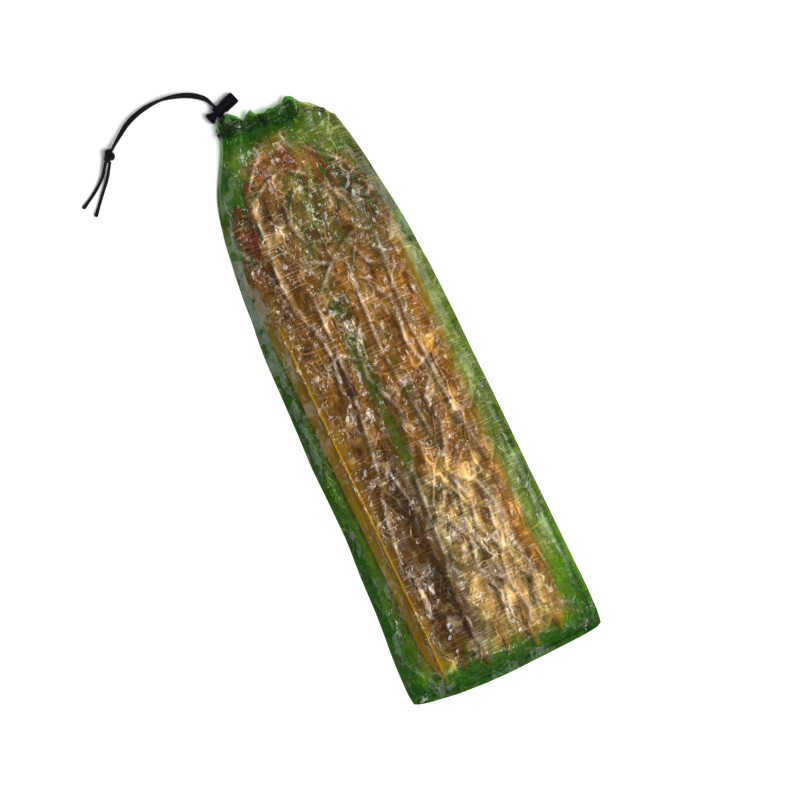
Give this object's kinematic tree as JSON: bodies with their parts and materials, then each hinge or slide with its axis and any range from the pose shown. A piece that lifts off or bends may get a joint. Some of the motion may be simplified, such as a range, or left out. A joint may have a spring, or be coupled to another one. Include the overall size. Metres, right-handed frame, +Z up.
{
  "type": "drawstring stake stuff sack",
  "caption": "Flat translucent film drawstring sack with a cord lock and knotted cord lead, drawn shut over a bundle of Y-beam tent stakes with pull loops.",
  "frame": {"origin": "middle of the flat underside of the sack, on the surface that it rests on", "axes": "+X across the sack, +Y along it from the closed bottom towards the gathered mouth, +Z up off the resting surface"},
  "size_m": [0.153, 0.3343, 0.0121],
  "materials": {
    "film": "translucent laminate film with fibre streaks, semi-gloss, crumpled",
    "film_folded": "the same laminate folded double, denser green",
    "thread": "dark polyester thread",
    "cord": "braided cord, matt",
    "lock_plastic": "moulded acetal, satin",
    "spring_steel": "drawn wire",
    "stake_metal": "anodised, satin",
    "pull_cord": "braided cord with light flecks"
  },
  "bodies": {
    "sack": {"film_sack": "film", "side_seam_allowance": "film_folded", "bottom_seam_allowance": "film_folded", "drawcord_channel": "film_folded", "side_seam_stitching": "thread", "bottom_seam_stitching": "thread", "channel_stitching": "thread", "exit_bartack": "thread", "drawcord_in_channel": "cord"},
    "cord_lead": {"cord_strand_a": "cord", "cord_strand_b": "cord", "stopper_knot": "cord"},
    "lock": {"cord_lock_barrel": "lock_plastic", "cord_lock_spring": "spring_steel"},
    "lock_plunger": {"cord_lock_plunger": "lock_plastic"},
    "tail_a": {"cord_tail_a": "cord"},
    "tail_b": {"cord_tail_b": "cord"},
    "stake_1": {"stake_1": "stake_metal"},
    "stake_2": {"stake_2": "stake_metal"},
    "stake_3": {"stake_3": "stake_metal"},
    "stake_4": {"stake_4": "stake_metal"},
    "stake_5": {"stake_5": "stake_metal"},
    "stake_6": {"stake_6": "stake_metal"},
    "loop_1": {"pull_loop_1": "pull_cord"},
    "loop_2": {"pull_loop_2": "pull_cord"},
    "loop_3": {"pull_loop_3": "pull_cord"},
    "loop_4": {"pull_loop_4": "pull_cord"},
    "loop_5": {"pull_loop_5": "pull_cord"},
    "loop_6": {"pull_loop_6": "pull_cord"}
  },
  "joints": [
    {"name": "cord_lead_swing", "type": "hinge", "parent": "sack", "child": "cord_lead", "pos_m": [-0.0191, 0.1585, 0.00325], "axis": [0, 0, 1], "range_deg": [-6, 22]},
    {"name": "lock_slide", "type": "hinge", "parent": "cord_lead", "child": "lock", "pos_m": [-0.0487, 0.1434, 0.00325], "axis": [0, 0, 1], "range_deg": [0, 92], "deforming": ["cord_strand_a", "cord_strand_b"]},
    {"name": "plunger_press", "type": "slide", "parent": "lock", "child": "lock_plunger", "axis": [0.9449, 0.3272, 0], "range_m": [0, 0.0019], "stiffness_N_per_m": 15, "springref_m": -0.002, "deforming": ["cord_lock_spring"]},
    {"name": "tail_a_swing", "type": "hinge", "parent": "cord_lead", "child": "tail_a", "pos_m": [-0.0816, 0.1629, 0.003], "axis": [0, 0, 1], "range_deg": [-35, 4]},
    {"name": "tail_b_swing", "type": "hinge", "parent": "cord_lead", "child": "tail_b", "pos_m": [-0.0804, 0.161, 0.003], "axis": [0, 0, 1], "range_deg": [-4, 35]},
    {"name": "stake_1_slide", "type": "slide", "parent": "sack", "child": "stake_1", "axis": [-0.0254, 0.9997, 0], "range_m": [0, 0.0022]},
    {"name": "stake_2_slide", "type": "slide", "parent": "sack", "child": "stake_2", "axis": [-0.0281, 0.9996, 0], "range_m": [0, 0.006]},
    {"name": "stake_3_slide", "type": "slide", "parent": "sack", "child": "stake_3", "axis": [-0.0289, 0.9996, 0], "range_m": [0, 0.006]},
    {"name": "stake_4_slide", "type": "slide", "parent": "sack", "child": "stake_4", "axis": [-0.0035, 1, 0], "range_m": [0, 0.006]},
    {"name": "stake_5_slide", "type": "slide", "parent": "sack", "child": "stake_5", "axis": [0.0105, 0.9999, 0], "range_m": [0, 0.006]},
    {"name": "stake_6_slide", "type": "slide", "parent": "sack", "child": "stake_6", "axis": [0.0096, 1, 0], "range_m": [0, 0.006]},
    {"name": "loop_1_lift", "type": "hinge", "parent": "stake_1", "child": "loop_1", "pos_m": [-0.03732, 0.07634, 0.00831], "axis": [0.9874, 0.0251, -0.1564], "range_deg": [0, 3]},
    {"name": "loop_2_lift", "type": "hinge", "parent": "stake_2", "child": "loop_2", "pos_m": [-0.02685, 0.07891, 0.00765], "axis": [0.9996, 0.0281, 0], "range_deg": [0, 3]},
    {"name": "loop_3_lift", "type": "hinge", "parent": "stake_3", "child": "loop_3", "pos_m": [-0.01565, 0.07611, 0.00765], "axis": [0.9996, 0.0289, 0], "range_deg": [0, 3]},
    {"name": "loop_4_lift", "type": "hinge", "parent": "stake_4", "child": "loop_4", "pos_m": [0.00222, 0.0774, 0.00765], "axis": [1, 0.0035, 0], "range_deg": [0, 3]},
    {"name": "loop_5_lift", "type": "hinge", "parent": "stake_5", "child": "loop_5", "pos_m": [0.01935, 0.07579, 0.00765], "axis": [0.9999, -0.0105, 0], "range_deg": [0, 3]},
    {"name": "loop_6_lift", "type": "hinge", "parent": "stake_6", "child": "loop_6", "pos_m": [0.03375, 0.07779, 0.00765], "axis": [1, -0.0096, 0], "range_deg": [0, 3]}
  ]
}
